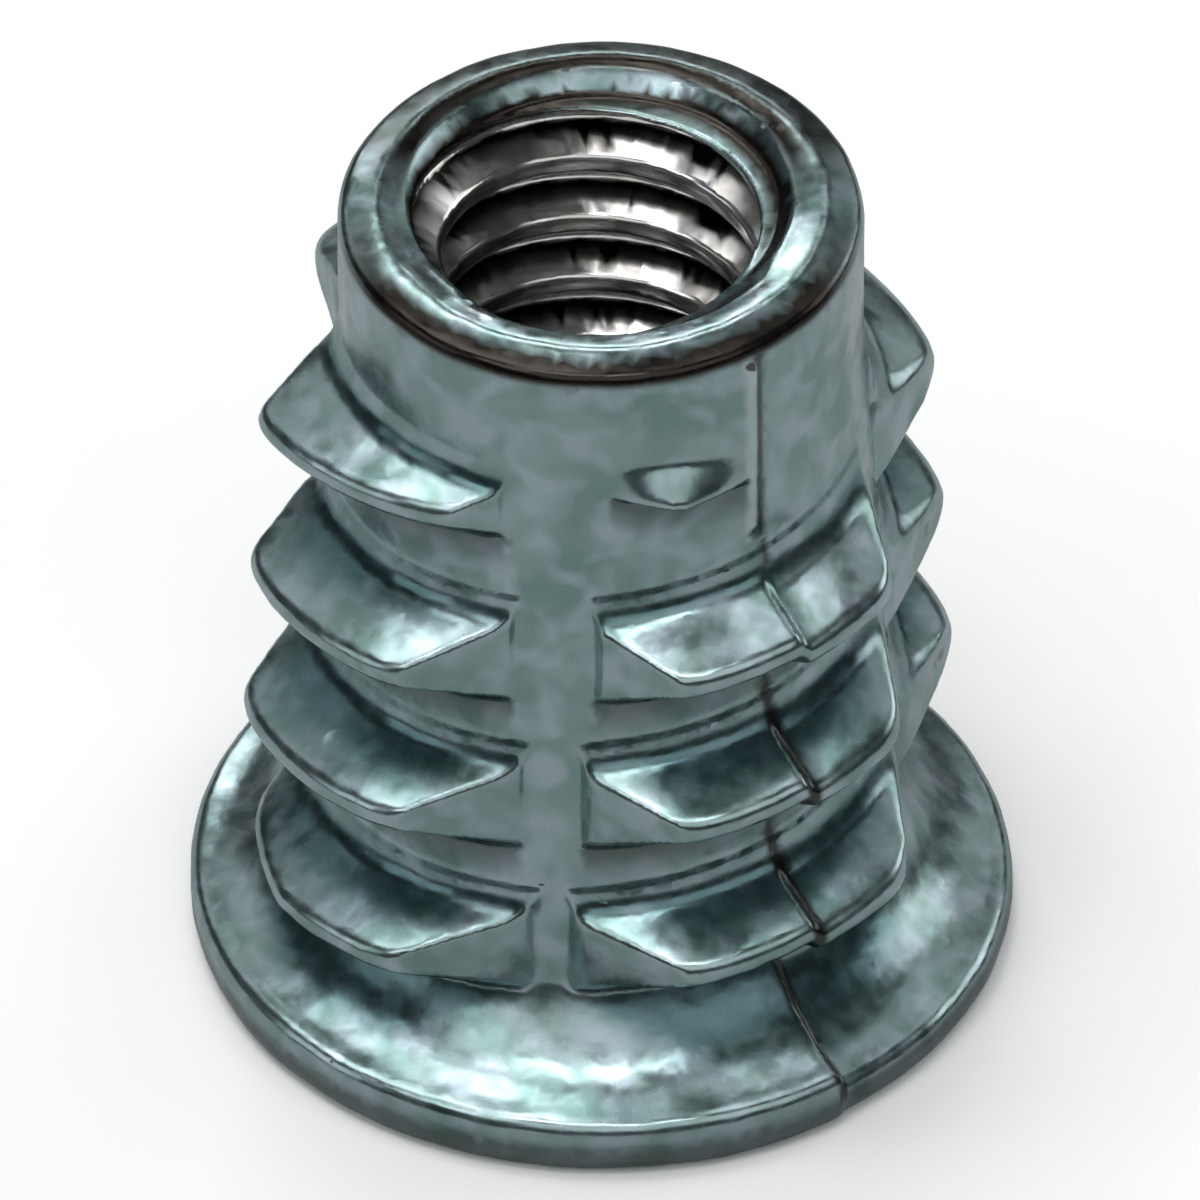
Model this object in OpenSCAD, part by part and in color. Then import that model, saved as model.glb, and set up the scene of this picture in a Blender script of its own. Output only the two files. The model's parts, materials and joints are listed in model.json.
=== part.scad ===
// Hex-drive threaded insert for wood: one die casting that stands on its flange.
// The origin is the centre of the flange's face. +Z runs up the bore to the entry end.
// Angles run round the axis from the front (-Y) towards +X.

/* [Body] */
// Overall length, from the flange's face to the entry end
overall_l = 15; // [12:0.5:20]
// Diameter of the smooth neck at the entry end
neck_d = 8.4; // [8:0.1:9]
// Length of the smooth neck, above the start of the wood thread
neck_l = 2.5; // [1.5:0.1:4]
// Diameter of the tapered core where it meets the flange
core_d = 9.6; // [9:0.1:11]
// Radius of the edge round the entry end
neck_edge_r = 0.3; // [0.1:0.05:0.5]

/* [Flange] */
// Outside diameter of the flange
flange_d = 13.5; // [12:0.1:18]
// Thickness of the flange at its outer edge
flange_edge_t = 1.1; // [0.9:0.05:1.6]
// Height at which the dished side of the flange meets the core
flange_h = 2.4; // [2:0.1:4]
// Radius of the hollow that dishes the side of the flange
dish_r = 2.8; // [2.5:0.1:8]
// Radius of the flange's edge next to its face
face_edge_r = 0.4; // [0.1:0.05:0.5]
// Radius of the flange's edge next to the dish
dish_edge_r = 0.3; // [0.1:0.05:0.3]

/* [Wood thread] */
// Distance between turns
wood_pitch = 2.95; // [2:0.05:4]
// Diameter over the crests at the flange
wood_d = 12.2; // [11:0.1:13.5]
// Diameter over the crests at the entry end
wood_entry_d = 11.1; // [10:0.1:12.5]
// Slope of a tooth's upper side, from level
upper_flank_a = 23; // [15:1:40]
// Slope of a tooth's lower side, from level
lower_flank_a = 33; // [15:1:40]
// Width of the narrow land along the crest
crest_w = 0.16; // [0.05:0.01:0.4]
// Angle over which the first turn rises out of the neck
run_in_a = 110; // [40:5:150]
// Distance by which the first turn dips as it leaves the neck
run_in_dip = 0.4; // [0:0.05:0.5]
// Angle over which the last turn sinks into the flange
run_out_a = 60; // [30:5:120]

/* [Relief strips] */
// Number of strips that cut the thread into teeth
strips = 4; // [3:1:6]
// Width of a strip at the entry end of the core
strip_w = 1.5; // [0.5:0.1:2.5]
// Width of a strip where it meets the flange
strip_flange_w = 0.3; // [0.2:0.1:1.5]
// Half of the angle between the crests on the two sides of a strip
crest_gap_a = 24; // [15:1:30]

/* [Casting] */
// Height by which one half of the die stood above the other, which leaves a step along the parting line
die_step = 0.15; // [0.02:0.01:0.3]

/* [Bore and drive] */
// Nominal diameter of the bolt that the bore takes
bolt_d = 6.35; // [5:0.05:7]
// Pitch of the bolt's thread
bolt_pitch = 1.27; // [0.8:0.01:1.5]
// Room between the bolt and the flats of the hex socket that it passes through
hex_room = 0.05; // [0:0.05:0.3]
// Depth of the hex socket from the flange's face
hex_depth = 5.5; // [3:0.1:8]
// Depth of the cone that leads a key into the hex socket
hex_lead_in = 0.3; // [0.1:0.05:0.5]

/* [Hidden] */

$fn = 96;
past = 1;                       // how far a cut runs past the face it opens
bury = 0.4;                     // how far the foot of a tooth reaches into the core
cells = 8;                      // steps along one tooth
lap = 0.01;                     // share of a tooth by which its two halves overlap at the parting line
dish_steps = 8;                 // steps along the section of the dish
sink = 0.05;                    // depth below the core at which the thread starts and ends
start_a = 45;                   // where the thread starts, on the parting line

neck_r = neck_d / 2;
core_r = core_d / 2;
flange_r = flange_d / 2;
thread_top = overall_l - neck_l;
end_a = start_a - 360 * (thread_top - flange_h) / wood_pitch;
hex_af = bolt_d + hex_room;

// A tapped hole is bored to the bolt's diameter less 1.08 of an ISO or inch pitch, opened by a tenth
// of a millimetre as tap drills are
bore_r = (bolt_d - 1.0825 * bolt_pitch + 0.125) / 2;

function mix(a, b, t) = a + (b - a) * t;
function unit(t) = min(1, max(0, t));
function polar(r, a, z) = [r * sin(a), -r * cos(a), z];

// Share of the threaded length: 0 at the flange and 1 where the thread starts
function up(z) = (z - flange_h) / (thread_top - flange_h);
function core_at(z) = mix(core_r, neck_r, unit(up(z)));
function crest_at(z) = mix(wood_d, wood_entry_d, up(z)) / 2;

// Share of the run-in and of the run-out that lies behind angle a, and of its full height that the
// thread has there
function in_share(a) = unit((start_a - a) / run_in_a);
function out_share(a) = unit((a - end_a) / run_out_a);
function rise(a) = pow(in_share(a), 1.5) * out_share(a);

// Height of the crest's middle at angle a
function crest_z(a) = thread_top - wood_pitch * (start_a - a) / 360 - run_in_dip * pow(1 - in_share(a), 2);

// Height of a tooth above the core, from just below it where the thread starts
function tooth_h(a) = mix(-sink, crest_at(crest_z(a)) - core_at(crest_z(a)), rise(a));

// Half of the angle that a strip takes up at the core, and at the crest, where it opens out
function strip_half_a(a) = asin(mix(strip_flange_w, strip_w, unit(up(crest_z(a)))) / 2 / core_at(crest_z(a)));
function crest_half_a(a) = mix(strip_half_a(a), crest_gap_a, rise(a));

// Section of a tooth, a share t of the way along it: foot, lower and upper edge of the crest, foot.
// The foot spans more of the turn than the crest does, so the ends of a tooth lean back.
function section(from, to, t) =
    let (foot_a = mix(from + strip_half_a(from), to - strip_half_a(to), t))
    let (top_a = mix(from + crest_half_a(from), to - crest_half_a(to), t))
    let (h = tooth_h(top_a))
    let (foot_r = core_at(crest_z(foot_a)) - bury, top_r = core_at(crest_z(top_a)) + h)
    [
        polar(foot_r, foot_a, crest_z(foot_a) - crest_w / 2 - (h + bury) * tan(lower_flank_a)),
        polar(top_r, top_a, crest_z(top_a) - crest_w / 2),
        polar(top_r, top_a, crest_z(top_a) + crest_w / 2),
        polar(foot_r, foot_a, crest_z(foot_a) + crest_w / 2 + (h + bury) * tan(upper_flank_a)),
    ];

// Part of the tooth between the strips at angles from and to, lofted over shares t0 to t1 of its length
module tooth(from, to, t0 = 0, t1 = 1) {
    points = [for (i = [0 : cells]) each section(from, to, mix(t0, t1, i / cells))];
    sides = [
        for (i = [0 : cells - 1], j = [0 : 3])
            [4 * i + j, 4 * i + (j + 1) % 4, 4 * (i + 1) + (j + 1) % 4, 4 * (i + 1) + j]
    ];
    ends = [[3, 2, 1, 0], [for (j = [0 : 3]) 4 * cells + j]];
    polyhedron(points, concat(sides, ends));
}

// The teeth lie between the strips, for as long as the thread stands out of the core. A tooth that the
// parting line crosses is made in two, and what lies in the lifted half of the die stands higher.
module wood_thread() {
    strip_a = 360 / strips;
    first = ceil(end_a / strip_a);
    last = floor(start_a / strip_a);
    for (i = [first : last - 1]) {
        from = i * strip_a;
        to = from + strip_a;
        turns = ceil((from - start_a) / 180);
        split = (start_a + 180 * turns - from) / strip_a;
        lift_before = turns % 2 == 0 ? 0 : die_step;
        lift_after = turns % 2 == 0 ? die_step : 0;
        translate([0, 0, lift_before])
            tooth(from, to, 0, min(1, split + lap));
        if (split < 1)
            translate([0, 0, lift_after])
                tooth(from, to, split, 1);
    }
    tooth(last * strip_a, start_a + strip_half_a(start_a));
}

// Hollow of the dish in section, an arc from the flange's edge up to the core
function dish_arc(from, to) =
    let (chord = to - from)
    let (across = [chord.y, -chord.x] / norm(chord))
    let (centre = (from + to) / 2 + across * sqrt(pow(dish_r, 2) - pow(norm(chord) / 2, 2)))
    let (a0 = atan2(from.y - centre.y, from.x - centre.x))
    let (a1 = atan2(to.y - centre.y, to.x - centre.x))
    [for (i = [0 : dish_steps]) let (a = mix(a0, a1, i / dish_steps)) centre + dish_r * [cos(a), sin(a)]];

// Half section of the core, neck and flange, in X from the axis and Y up
module body_section() {
    polygon([
        [0, 0],
        [flange_r - face_edge_r, 0],
        [flange_r, face_edge_r],
        [flange_r, flange_edge_t - dish_edge_r],
        each dish_arc([flange_r - dish_edge_r, flange_edge_t], [core_r, flange_h]),
        [neck_r, thread_top],
        [neck_r, overall_l - neck_edge_r],
        [neck_r - neck_edge_r, overall_l],
        [0, overall_l],
    ]);
    translate([flange_r - face_edge_r, face_edge_r])
        circle(face_edge_r);
    translate([flange_r - dish_edge_r, flange_edge_t - dish_edge_r])
        circle(dish_edge_r);
    translate([neck_r - neck_edge_r, overall_l - neck_edge_r])
        circle(neck_edge_r);
}

// Half section of what the lifted half of the die adds to the dished side of the flange
module lifted_section() {
    edge_z = flange_edge_t + die_step;
    top_z = flange_h + die_step;
    polygon([
        [core_r - bury, flange_edge_t - dish_edge_r - bury],
        [flange_r - bury, flange_edge_t - dish_edge_r - bury],
        [flange_r, flange_edge_t - dish_edge_r],
        [flange_r, edge_z - dish_edge_r],
        each dish_arc([flange_r - dish_edge_r, edge_z], [core_at(top_z) - sink, top_z]),
        [core_r - bury, top_z],
    ]);
    translate([flange_r - dish_edge_r, edge_z - dish_edge_r])
        circle(dish_edge_r);
}

// The bore, opened at the entry end to let the bolt's thread in
module bore() {
    translate([0, 0, -past])
        cylinder(h = overall_l + 2 * past, r = bore_r);
    mouth_r = bolt_d / 2;
    translate([0, 0, overall_l - (mouth_r - bore_r)])
        cylinder(h = mouth_r - bore_r + past, r1 = bore_r, r2 = mouth_r + past);
}

// The hex socket in the flange's face, with a lead-in for the key
module hex_socket() {
    corner_r = hex_af / 2 / cos(30);
    translate([0, 0, -past])
        cylinder(h = hex_depth + past, r = corner_r, $fn = 6);
    translate([0, 0, -past])
        cylinder(h = past + hex_lead_in, r1 = corner_r + hex_lead_in + past, r2 = corner_r);
}

module insert_body() {
    color("slategray")
        difference() {
            union() {
                rotate_extrude()
                    body_section();
                rotate([0, 0, start_a - 90])
                    rotate_extrude(angle = 180)
                        lifted_section();
                wood_thread();
            }
            bore();
            hex_socket();
        }
}

insert_body();
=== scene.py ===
# %% [markdown]
# # A cast threaded insert for wood
# The real object is one zinc die casting, 15 mm tall. It stands on a dished flange with a hex socket.
# A coarse thread, cut into teeth by four relief strips, holds in the wood, and a bolt's thread is cut
# inside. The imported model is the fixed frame, and it gives the size and the place of everything here.

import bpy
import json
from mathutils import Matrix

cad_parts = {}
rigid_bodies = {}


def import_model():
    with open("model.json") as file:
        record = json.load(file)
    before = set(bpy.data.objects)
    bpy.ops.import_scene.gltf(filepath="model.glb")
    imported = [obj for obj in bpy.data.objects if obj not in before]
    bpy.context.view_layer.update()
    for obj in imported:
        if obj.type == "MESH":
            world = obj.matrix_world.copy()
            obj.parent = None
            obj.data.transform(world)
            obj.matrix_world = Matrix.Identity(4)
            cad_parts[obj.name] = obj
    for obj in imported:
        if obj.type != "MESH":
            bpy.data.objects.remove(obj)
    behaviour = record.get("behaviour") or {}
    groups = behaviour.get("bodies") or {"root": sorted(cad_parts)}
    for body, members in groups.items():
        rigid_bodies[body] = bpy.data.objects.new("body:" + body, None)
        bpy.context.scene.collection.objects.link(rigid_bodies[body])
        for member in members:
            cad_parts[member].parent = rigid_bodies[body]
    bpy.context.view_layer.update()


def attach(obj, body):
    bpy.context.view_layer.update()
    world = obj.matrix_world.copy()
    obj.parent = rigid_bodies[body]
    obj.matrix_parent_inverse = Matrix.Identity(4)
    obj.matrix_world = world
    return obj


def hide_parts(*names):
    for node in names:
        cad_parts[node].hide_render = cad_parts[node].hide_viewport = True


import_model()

# %% [markdown]
# ## Units and angles
# The insert could be drawn in metres, but Blender's remesher and its merge distances suit things of a
# few units across. So one unit is a millimetre, and the finished casting is shrunk. Angles are in
# degrees and run round the axis from the front (-Y) towards +X, as they do in the part's source.

# %% Place points round the axis
import math

import bpy
from mathutils import Vector

MM = 0.001


def mix(a, b, t):
    """The value a share t of the way from a to b."""
    return a + (b - a) * t


def unit(t):
    """t, held between 0 and 1."""
    return min(1.0, max(0.0, t))


def polar(r, a, z):
    """The point at radius r and angle a, at height z."""
    return Vector((r * math.sin(math.radians(a)), -r * math.cos(math.radians(a)), z))


print("a quarter turn from the front lies at", tuple(round(v, 3) for v in polar(1, 90, 0)))

# %% [markdown]
# ## Selecting and drawing
# An operator works on all that is selected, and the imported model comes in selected. So each helper
# starts with nothing selected and ends with its part selected and active. Parts that will be buried in
# others could stay open, but closed ones fuse cleanly, so their open edges are counted from now on.

# %% Select, draw and close a part
def clear_selection():
    """Leaves edit mode and selects nothing."""
    if bpy.context.object and bpy.context.object.mode != "OBJECT":
        bpy.ops.object.mode_set(mode="OBJECT")
    bpy.ops.object.select_all(action="DESELECT")


def pick(part):
    """Makes part the only selected object, and the active one."""
    clear_selection()
    part.select_set(True)
    bpy.context.view_layer.objects.active = part


def drawn(name, points, edges):
    """A wire drawn from points and the edges between them, picked and in edit mode."""
    mesh = bpy.data.meshes.new(name)
    mesh.from_pydata(points, edges, ())
    part = bpy.data.objects.new(name, mesh)
    bpy.context.scene.collection.objects.link(part)
    pick(part)
    bpy.ops.object.mode_set(mode="EDIT")
    bpy.ops.mesh.select_all(action="SELECT")
    return part


def close_up(part):
    """Merges a part's doubles, closes its ends, turns its faces outwards and leaves edit mode."""
    bpy.ops.mesh.select_all(action="SELECT")
    bpy.ops.mesh.remove_doubles(threshold=0.0001)
    bpy.ops.mesh.fill_holes(sides=0)
    bpy.ops.mesh.select_all(action="SELECT")
    bpy.ops.mesh.normals_make_consistent(inside=False)
    bpy.ops.object.mode_set(mode="OBJECT")
    return part


def open_edges(part):
    """How many edges of a mesh don't lie between two faces."""
    uses = {}
    for polygon in part.data.polygons:
        for key in polygon.edge_keys:
            uses[key] = uses.get(key, 0) + 1
    return sum(1 for n in uses.values() if n != 2) + len(part.data.edges) - len(uses)


clear_selection()
print("selected at the start:", len(bpy.context.selected_objects))

# %% [markdown]
# ## Outlines and arcs
# A turned shape could start as a cylinder whose rings are moved one by one. An outline that the Spin
# operator turns round the axis is quicker to read, because it is the half section that a drawing shows.
# Its round corners are short arcs.

# %% Spin an outline
SPIN_STEPS = 128


def spun(name, outline, start=0.0, angle=360.0):
    """A solid turned round Z from a closed outline of (radius, height) points."""
    ring = [polar(r, start, z) for r, z in outline]
    part = drawn(name, ring, [(i, (i + 1) % len(ring)) for i in range(len(ring))])
    bpy.ops.mesh.spin(
        steps=round(SPIN_STEPS * angle / 360), angle=-math.radians(angle),
        center=(0, 0, 0), axis=(0, 0, 1),
    )
    return close_up(part)


def arc(centre, radius, start, end, steps):
    """Points of an arc in the outline's plane, with angles from the radial direction."""
    angles = [math.radians(mix(start, end, i / steps)) for i in range(steps + 1)]
    return [(centre[0] + radius * math.cos(a), centre[1] + radius * math.sin(a)) for a in angles]


print("one step of a spin:", round(360 / SPIN_STEPS, 2), "degrees")

# %% [markdown]
# ## The flange's dish
# The flange's upper face is a hollow arc that runs up into the core. It could be a curve object, but
# two of its points and its radius are known, so its centre is worked out and the arc joins the outline.
# The edge of the flange is rounded, since a die leaves no sharp edge.

# %% Draw the flange's upper side
CORE_R = 4.8
FLANGE_R, FLANGE_EDGE_T, FLANGE_H = 6.75, 1.1, 2.4
DISH_R, DISH_EDGE_R = 2.8, 0.3


def dish(from_point, to_point, steps=12):
    """The dish's arc, from the flange's edge up to the core."""
    (x0, y0), (x1, y1) = from_point, to_point
    length = math.dist(from_point, to_point)
    across = ((y1 - y0) / length, -(x1 - x0) / length)
    reach = math.sqrt(DISH_R**2 - (length / 2) ** 2)
    centre = ((x0 + x1) / 2 + across[0] * reach, (y0 + y1) / 2 + across[1] * reach)
    start = math.degrees(math.atan2(y0 - centre[1], x0 - centre[0]))
    end = math.degrees(math.atan2(y1 - centre[1], x1 - centre[0]))
    return arc(centre, DISH_R, start % 360, end % 360, steps)


def flange_top(lift, inwards):
    """Outline of the flange's rounded edge and its dish, raised by lift and set inwards."""
    edge_r = FLANGE_R - inwards - DISH_EDGE_R
    edge = arc((edge_r, FLANGE_EDGE_T + lift - DISH_EDGE_R), DISH_EDGE_R, 0, 90, 5)
    return edge + dish((edge_r, FLANGE_EDGE_T + lift), (CORE_R, FLANGE_H + lift))[1:]


print("points from the flange's edge to the core:", len(flange_top(0.0, 0.0)))

# %% [markdown]
# ## The body
# Core, neck and flange are one shape turned round the axis. Separate solids would need joining, and one
# outline doesn't. It also holds the wall of the bore, as wide as the bolt, because the bolt's thread is
# added to that wall later as a ridge. The rim at the entry end is crowned, as the die left it: from a
# low ridge it falls gently both outwards and into the mouth, where it keeps a lip for the tool to cut.

# %% Turn the body
OVERALL_L, NECK_L, NECK_R = 15.0, 2.5, 4.2
THREAD_TOP = OVERALL_L - NECK_L
FACE_EDGE_R, FLANGE_STEP, LOW_HALF_IN = 0.4, 0.25, 0.08
RIM_PEAK_R, RIM_DROP, RIM_EDGE_R, RIM_EDGE_A = 3.6, 0.13, 0.2, 78
LIP_R, LIP_DROP, LIP_T = 3.1, 0.15, 0.3
BOLT_R, HEX_AF, HEX_DEPTH = 3.175, 6.4, 5.5
wall_r = BOLT_R + 0.02
before_key_r = HEX_AF / 2 - 0.6

body_outline = [
    (before_key_r, 0.0),
    *arc((FLANGE_R - LOW_HALF_IN - FACE_EDGE_R, FACE_EDGE_R), FACE_EDGE_R, -90, 0, 6),
    *flange_top(-FLANGE_STEP, LOW_HALF_IN),
    (NECK_R, THREAD_TOP),
    *arc((NECK_R - RIM_EDGE_R, OVERALL_L - RIM_DROP - RIM_EDGE_R), RIM_EDGE_R, 0, RIM_EDGE_A, 5),
    (RIM_PEAK_R, OVERALL_L),
    (LIP_R, OVERALL_L - LIP_DROP),
    (LIP_R, OVERALL_L - LIP_DROP - LIP_T),
    (wall_r, OVERALL_L - LIP_DROP - 2 * LIP_T),
    (wall_r, HEX_DEPTH),
    (before_key_r, HEX_DEPTH),
]
body = spun("body", body_outline)
print("body:", len(body.data.polygons), "faces,", open_edges(body), "open edges")

# %% [markdown]
# ## The hex socket
# A key drives the insert from the flange's side. The socket's walls could be pushed in with inset and
# extrude, but the Boolean modifier takes the key's own shape: a cylinder of six sides, and a short cone
# in front of it for the lead-in. Both cutters reach past the foot, so no thin skin is left there.

# %% Cut the hex socket
HEX_LEAD_IN, PAST_FOOT = 0.3, 1.0


def apply_modifier(part, kind, **settings):
    """Gives part a modifier with its settings, and applies it."""
    pick(part)
    modifier = part.modifiers.new(kind.lower(), kind)
    for key, value in settings.items():
        setattr(modifier, key, value)
    bpy.ops.object.modifier_apply(modifier=modifier.name)


def cut(part, cutter):
    """Takes cutter's shape out of part, and throws cutter away."""
    apply_modifier(part, "BOOLEAN", operation="DIFFERENCE", solver="EXACT", object=cutter)
    bpy.data.objects.remove(cutter)


corner_r = HEX_AF / 2 / math.cos(math.radians(30))
clear_selection()
bpy.ops.mesh.primitive_cylinder_add(
    vertices=6, radius=corner_r, depth=HEX_DEPTH + PAST_FOOT,
    location=(0, 0, (HEX_DEPTH - PAST_FOOT) / 2), rotation=(0, 0, math.radians(30)),
)
cut(body, bpy.context.object)
clear_selection()
bpy.ops.mesh.primitive_cone_add(
    vertices=96, radius1=corner_r + HEX_LEAD_IN + PAST_FOOT, radius2=corner_r,
    depth=HEX_LEAD_IN + PAST_FOOT, location=(0, 0, (HEX_LEAD_IN - PAST_FOOT) / 2),
)
cut(body, bpy.context.object)
print("body with its socket:", len(body.data.polygons), "faces,", open_edges(body), "open edges")

# %% [markdown]
# ## The higher half of the die
# The two halves of the die met along the axis and stood a little out of line, which left a step down
# the casting. The body could be split and one half raised, but then the bore would have a step too. So
# the body has the lower half's shape, and on the flange a half ring stands above it.

# %% Add the half ring
START_A = 45.0
RING_IN_R, RING_LOW_Z = CORE_R - 0.4, 0.3

ring_outline = [
    (RING_IN_R, RING_LOW_Z),
    *arc((FLANGE_R - FACE_EDGE_R, FACE_EDGE_R), FACE_EDGE_R, -70, 0, 5),
    *flange_top(0.0, 0.0),
    (RING_IN_R, FLANGE_H),
]
parts = [spun("higher_half", ring_outline, START_A - 180.0, 180.0)]
print("half ring:", len(parts[0].data.polygons), "faces,", open_edges(parts[0]), "open edges")

# %% [markdown]
# ## The flash
# On the neck the parting line is a low ridge of metal that crept between the dies. It has one steep
# side and one gentle side, so it is drawn as a few such sections, one above another, and Bridge Edge
# Loops skins over them. A bevelled cube would do as well, but the teeth need such a loft anyway.

# %% Add the flash
FLASH_H, FLASH_W, FLASH_BACK_W = 0.15, 0.40, 0.05
FLASH_BURY, FLASH_SINK = 0.3, 0.02
FLASH_HEIGHTS = (THREAD_TOP - 1.4, THREAD_TOP, OVERALL_L - 0.5)


def lofted(name, sections):
    """A solid skinned over closed sections that all have the same number of points."""
    count = len(sections[0])
    points = [p for section in sections for p in section]
    edges = [
        (s * count + j, s * count + (j + 1) % count)
        for s in range(len(sections))
        for j in range(count)
    ]
    part = drawn(name, points, edges)
    bpy.ops.mesh.bridge_edge_loops()
    return close_up(part)


def flash_section(a, z):
    """The flash across the parting line at angle a, at height z."""
    low_a, high_a = a - math.degrees(FLASH_W / NECK_R), a + math.degrees(FLASH_BACK_W / NECK_R)
    return [
        polar(NECK_R - FLASH_BURY, low_a, z),
        polar(NECK_R - FLASH_SINK, low_a, z),
        polar(NECK_R + FLASH_H, a, z),
        polar(NECK_R - FLASH_SINK, high_a, z),
        polar(NECK_R - FLASH_BURY, high_a, z),
    ]


for parting_a in (START_A, START_A + 180):
    parts.append(lofted("flash", [flash_section(parting_a, z) for z in FLASH_HEIGHTS]))
print("half ring and flash:", [open_edges(p) for p in parts], "open edges")

# %% [markdown]
# ## Where the wood thread runs
# One coarse right-hand thread winds down a core that widens towards the flange. It gains height at its
# start, runs out on the flange, and four strips cut it into teeth. The Screw modifier would wind a
# thread of one size, and this one changes all along, so its places are functions of the angle. On the
# side where the die filled poorly the teeth are blunter.

# %% Follow the wood thread
WOOD_PITCH, WOOD_R, WOOD_ENTRY_R = 2.95, 6.1, 5.55
RUN_IN_A, RUN_IN_DIP, RUN_IN_POWER, RUN_OUT_A = 110.0, 0.4, 1.5, 60.0
STRIPS, STRIP_W, STRIP_FLANGE_W = 4, 1.5, 0.3
CREST_GAP_A, GAP_RATE = 24.0, 2.5
FULLEST_A, FILL_LIMIT = -20.0, 0.4
end_a = START_A - 360 * (THREAD_TOP - FLANGE_H) / WOOD_PITCH


def up(z):
    """Share of the threaded length: 0 at the flange and 1 where the thread starts."""
    return (z - FLANGE_H) / (THREAD_TOP - FLANGE_H)


def core_at(z):
    """Radius of the core."""
    return mix(CORE_R, NECK_R, unit(up(z)))


def crest_at(z):
    """Radius of the full thread's crest."""
    return mix(WOOD_R, WOOD_ENTRY_R, up(z))


def rise(a):
    """Share of its full height that the thread has at angle a."""
    return unit((START_A - a) / RUN_IN_A) ** RUN_IN_POWER * unit((a - end_a) / RUN_OUT_A)


def crest_z(a):
    """Height of the crest, which dips a little where the thread starts."""
    behind = unit((START_A - a) / RUN_IN_A)
    return THREAD_TOP - WOOD_PITCH * (START_A - a) / 360 - RUN_IN_DIP * (1 - behind) ** 2


def strip_half_a(a):
    """Half the angle of the strip, which narrows towards the flange."""
    z = crest_z(a)
    return math.degrees(math.asin(mix(STRIP_FLANGE_W, STRIP_W, unit(up(z))) / 2 / core_at(z)))


def crest_half_a(a):
    """Half the angle between two crests. It is wider than the strip, so a tooth's ends lean back."""
    return mix(strip_half_a(a), CREST_GAP_A, unit(GAP_RATE * rise(a)))


def poorly_filled(a):
    """1 where the die filled poorly, on the side away from FULLEST_A, and 0 where it filled well."""
    return unit(FILL_LIMIT - math.cos(math.radians(a - FULLEST_A)))


print("wood thread:", round((START_A - end_a) / 360, 2), "turns")

# %% [markdown]
# ## One section of a tooth
# A tooth is a loft between two strips. Each section has a foot buried in the core and a narrow crest,
# and the crest spans less of the turn than the foot does. Sharp corners could be bevelled afterwards,
# but the width would vary with the mesh, so the section itself is drawn with a round crest and a fillet
# along both roots: hot metal neither fills nor leaves a sharp corner.

# %% Draw the tooth's section
UPPER_FLANK_A, LOWER_FLANK_A = 23.0, 33.0
CREST_R, BLUNT_R, ROOT_FILLET_R = 0.26, 0.45, 0.5
CREST_FULL_H, FILLET_FULL_H = 0.5, 0.9
BURY, SINK, PROUD = 0.4, 0.05, 0.05
END_SHARE, END_DROP, BLUNT_END_DROP = 0.16, 0.06, 0.28
SHIFT_FULL_H = 0.35


def flank(h, angle, crest_r):
    """Half a section, from the buried foot over the fillet to the crest, as (height, half width)."""
    lean = math.radians(angle)
    crest_r *= unit(h / CREST_FULL_H)
    fillet_r = ROOT_FILLET_R * unit(h / FILLET_FULL_H)
    offset = (h - crest_r) * math.sin(lean) + crest_r
    fillet_w = (offset + fillet_r * (1 - math.sin(lean))) / math.cos(lean)
    points = [(-BURY, fillet_w)]
    for i in range(6):
        turn = mix(0, math.pi / 2 - lean, i / 5)
        points.append((fillet_r * (1 - math.cos(turn)), fillet_w - fillet_r * math.sin(turn)))
    for share in (0.0, 0.35, 0.65, 0.9):
        turn = mix(lean, math.pi / 2, share)
        points.append((h - crest_r * (1 - math.sin(turn)), crest_r * math.cos(turn)))
    return points


def tooth_section(start, end, t, shift):
    """Section of the tooth between two strips, a share t of the way along it, moved by shift."""
    foot_a = mix(start + strip_half_a(start), end - strip_half_a(end), t)
    top_a = mix(start + crest_half_a(start), end - crest_half_a(end), t)
    near_end = unit(1 - min(t, 1 - t) / END_SHARE)
    worn = 1 - mix(END_DROP, BLUNT_END_DROP, poorly_filled(top_a)) * near_end**2
    full_h = crest_at(crest_z(top_a)) - core_at(crest_z(top_a)) + PROUD
    h = mix(SINK, full_h, rise(top_a)) * worn
    crest_r = mix(CREST_R, BLUNT_R, poorly_filled(top_a))
    lower = [(y, -w) for y, w in flank(h, LOWER_FLANK_A, crest_r)]
    upper = [(y, w) for y, w in reversed(flank(h, UPPER_FLANK_A, crest_r))]
    points = []
    for y, w in lower + upper:
        a = mix(foot_a, top_a, unit(y / h))
        point = polar(core_at(crest_z(a)) + y, a, crest_z(a) + w)
        points.append(point + shift * unit(y / SHIFT_FULL_H))
    return points


print("points in a section:", len(tooth_section(-90.0, 0.0, 0.5, Vector())))

# %% [markdown]
# ## The teeth
# Every tooth could be a copy of one, if the core and the crest were straight. They taper, so each tooth
# is lofted in its own place. Where the parting line crosses a tooth, the tooth is made in two, and the
# half from the other die stands lower. The sections lie closer together towards a tooth's ends, where
# its shape changes fastest.

# %% Loft the teeth
CELLS = 14
HIGH_HALF = Vector((-0.10, -0.02, 0.0))
LOW_HALF = Vector((0.0, 0.0, -0.17))
LAP = 0.01


def tooth(start, end, t0, t1, shift):
    """The tooth between the strips at start and end, from share t0 to share t1 of its length."""
    shares = [0.5 - 0.5 * math.cos(math.pi * i / CELLS) for i in range(CELLS + 1)]
    sections = [tooth_section(start, end, mix(t0, t1, share), shift) for share in shares]
    return lofted("tooth", sections)


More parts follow.
